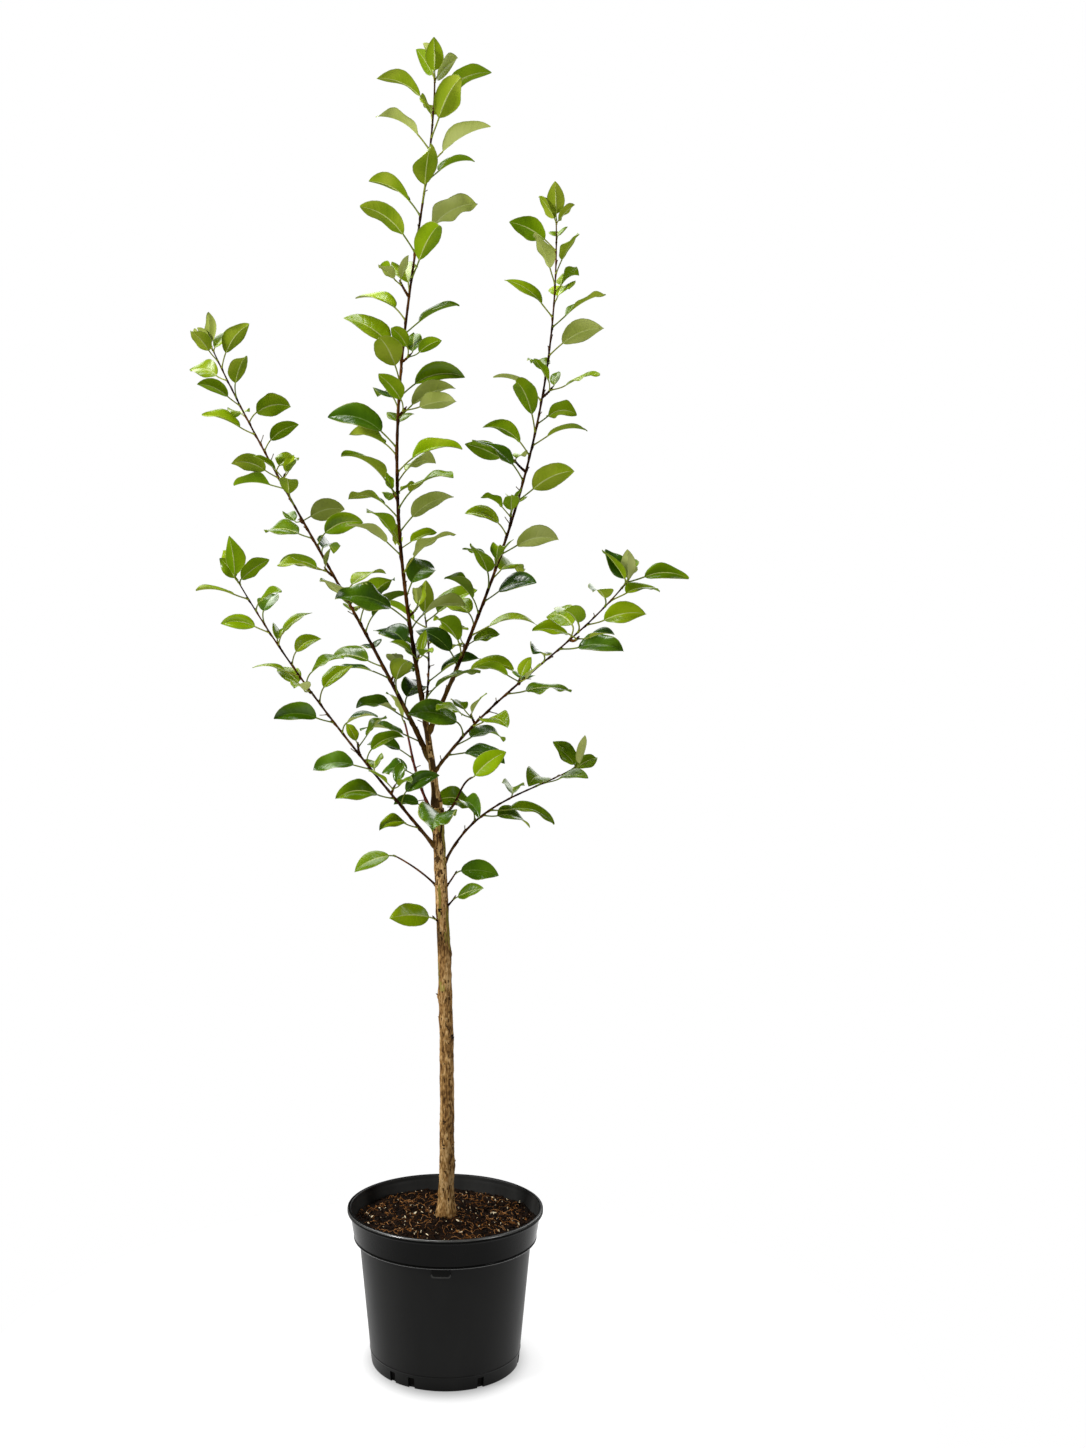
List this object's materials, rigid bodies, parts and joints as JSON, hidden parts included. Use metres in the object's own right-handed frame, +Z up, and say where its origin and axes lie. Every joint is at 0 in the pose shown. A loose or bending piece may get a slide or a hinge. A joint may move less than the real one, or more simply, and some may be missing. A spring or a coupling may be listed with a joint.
{
  "type": "potted apple tree",
  "caption": "Young apple tree with a clean straight trunk, upright leafy shoots and a round nursery pot filled with compost.",
  "frame": {"origin": "centre of the pot's flat underside, on the pot's axis", "axes": "+Z up along the pot's axis; +X to the right and +Y away from the viewer in the front view"},
  "size_m": [0.4879, 0.2989, 1.2606],
  "materials": {
    "pot_plastic": "satin black moulded plastic",
    "compost": "loose dark brown compost with fibres",
    "trunk_bark": "smooth olive-brown bark with bud scars",
    "shoot_bark": "smooth dark red-brown bark",
    "foliage": "glossy green leaves with paler undersides"
  },
  "bodies": {
    "root": {"pot": "pot_plastic", "soil": "compost", "trunk": "trunk_bark", "leader_bough": "shoot_bark", "leader_foliage": "foliage", "right_leader_bough": "shoot_bark", "right_leader_foliage": "foliage", "left_high_bough": "shoot_bark", "left_high_foliage": "foliage", "left_low_bough": "shoot_bark", "left_low_foliage": "foliage", "right_mid_bough": "shoot_bark", "right_mid_foliage": "foliage", "right_low_bough": "shoot_bark", "right_low_foliage": "foliage", "back_shoot_bough": "shoot_bark", "back_shoot_foliage": "foliage", "left_spur_foliage": "foliage", "right_spur_foliage": "foliage", "low_twig_foliage": "foliage", "fork_leaf_foliage": "foliage", "trunk_leaf_left_foliage": "foliage", "trunk_leaf_right_foliage": "foliage", "trunk_leaf_upper_foliage": "foliage"}
  },
  "joints": []
}
